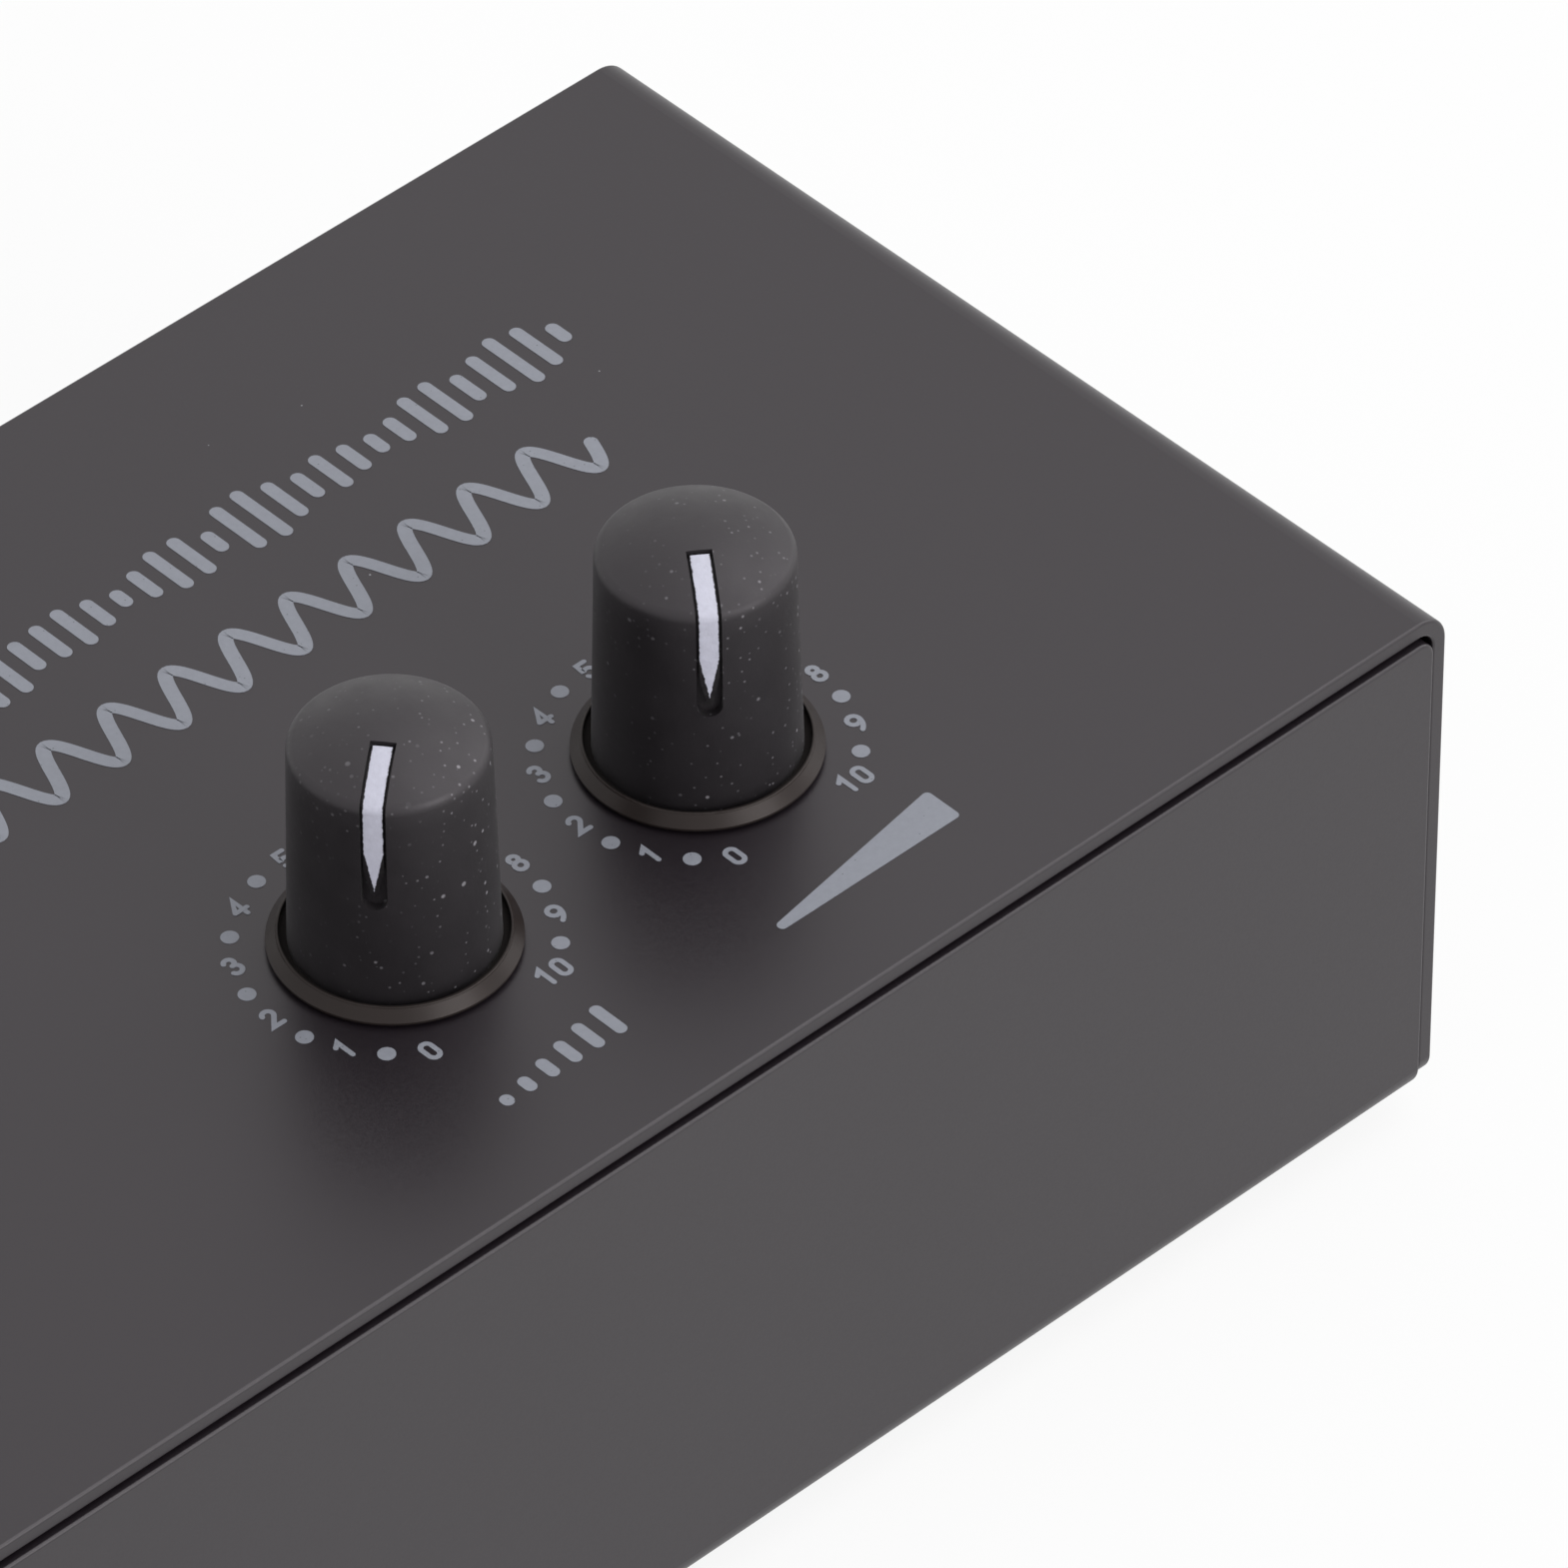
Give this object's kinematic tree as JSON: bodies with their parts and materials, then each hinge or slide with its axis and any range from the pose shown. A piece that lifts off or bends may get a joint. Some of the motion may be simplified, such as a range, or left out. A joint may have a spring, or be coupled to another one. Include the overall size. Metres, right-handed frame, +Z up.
{
  "type": "phono preamp",
  "caption": "Small desktop phono preamp in a folded charcoal steel case, with level and volume knobs on dials on its top, a pilot light in front and phono jacks behind.",
  "frame": {"origin": "centre of the whole object's box, at the height of the table that its feet stand on", "axes": "+X right along the front panel, +Y to the rear, +Z up"},
  "size_m": [0.1334, 0.0878, 0.0603],
  "materials": {
    "case_paint": "satin charcoal powder coat, very fine texture",
    "screw_black": "black oxide, satin",
    "foot_rubber": "matt black rubber",
    "knob_soft": "soft-touch matt black, faint dust",
    "knob_plastic": "fine matt moulded black",
    "pointer_pale": "pale grey-white moulding",
    "bright_steel": "nickel-plated steel",
    "phenolic": "brown laminate",
    "board_green": "green solder mask",
    "pillar_brass": "turned brass",
    "black_plastic": "fine matt moulded black",
    "jack_plating": "nickel plate",
    "white_plastic": "semi-gloss moulding",
    "red_plastic": "semi-gloss moulding",
    "contact_brass": "plated spring brass",
    "button_plastic": "satin moulded black",
    "clear_plastic": "clear moulded light pipe",
    "led_epoxy": "tinted epoxy",
    "chip_black": "moulded epoxy",
    "can_sleeve": "shrink sleeve",
    "film_red": "dipped block",
    "resistor_blue": "lacquered body"
  },
  "bodies": {
    "root": {"top_cover": "case_paint", "chassis": "case_paint", "cover_screws": "screw_black", "foot_front_left": "foot_rubber", "foot_front_right": "foot_rubber", "foot_rear_left": "foot_rubber", "foot_rear_right": "foot_rubber", "level_pot_bush": "bright_steel", "level_pot_can": "bright_steel", "level_pot_wafer": "phenolic", "level_pot_nut": "bright_steel", "volume_pot_bush": "bright_steel", "volume_pot_can": "bright_steel", "volume_pot_wafer": "phenolic", "volume_pot_nut": "bright_steel", "main_board": "board_green", "board_standoffs": "pillar_brass", "board_screws": "bright_steel", "control_board": "board_green", "board_link": "black_plastic", "input_jack_housing": "black_plastic", "output_jack_housing": "black_plastic", "input_left_shell": "jack_plating", "input_left_insert": "white_plastic", "input_left_contact": "contact_brass", "input_right_shell": "jack_plating", "input_right_insert": "red_plastic", "input_right_contact": "contact_brass", "output_left_shell": "jack_plating", "output_left_insert": "white_plastic", "output_left_contact": "contact_brass", "output_right_shell": "jack_plating", "output_right_insert": "red_plastic", "output_right_contact": "contact_brass", "ground_stud": "bright_steel", "ground_inner_nut": "bright_steel", "power_jack_housing": "black_plastic", "power_jack_pin": "jack_plating", "power_switch": "black_plastic", "led_pipe": "clear_plastic", "led": "led_epoxy", "amplifier_chip": "chip_black", "voltage_regulator": "chip_black", "electrolytic_capacitors": "can_sleeve", "film_capacitors": "film_red", "resistors": "resistor_blue"},
    "level_control": {"level_knob_skin": "knob_soft", "level_knob_core": "knob_plastic", "level_knob_pointer": "pointer_pale", "level_pot_shaft": "bright_steel", "level_pot_wiper": "phenolic"},
    "volume_control": {"volume_knob_skin": "knob_soft", "volume_knob_core": "knob_plastic", "volume_knob_pointer": "pointer_pale", "volume_pot_shaft": "bright_steel", "volume_pot_wiper": "phenolic"},
    "earth_washer": {"ground_washer": "bright_steel"},
    "earth_nut": {"ground_thumb_nut": "jack_plating"},
    "push_button": {"power_button": "button_plastic"}
  },
  "joints": [
    {"name": "level_turn", "type": "hinge", "parent": "root", "child": "level_control", "pos_m": [-0.0025, -0.021, 0.0425], "axis": [0, 0, -1], "range_deg": [-21.5, 278.5]},
    {"name": "volume_turn", "type": "hinge", "parent": "root", "child": "volume_control", "pos_m": [0.0225, -0.021, 0.0425], "axis": [0, 0, -1], "range_deg": [-5.5, 294.5]},
    {"name": "washer_slide", "type": "slide", "parent": "root", "child": "earth_washer", "axis": [0, 1, 0], "range_m": [0, 0.0042]},
    {"name": "thumb_nut_turn", "type": "hinge", "parent": "earth_washer", "child": "earth_nut", "pos_m": [-0.0245, 0.0352, 0.0203], "axis": [0, 1, 0], "range_deg": [0, 2160]},
    {"name": "button_push", "type": "slide", "parent": "root", "child": "push_button", "axis": [0, -1, 0], "range_m": [0, 0.003], "stiffness_N_per_m": 400, "springref_m": -0.002}
  ],
  "couplings": [
    {"joint": "thumb_nut_turn", "follows": "washer_slide", "rad_per_m": 8976}
  ]
}
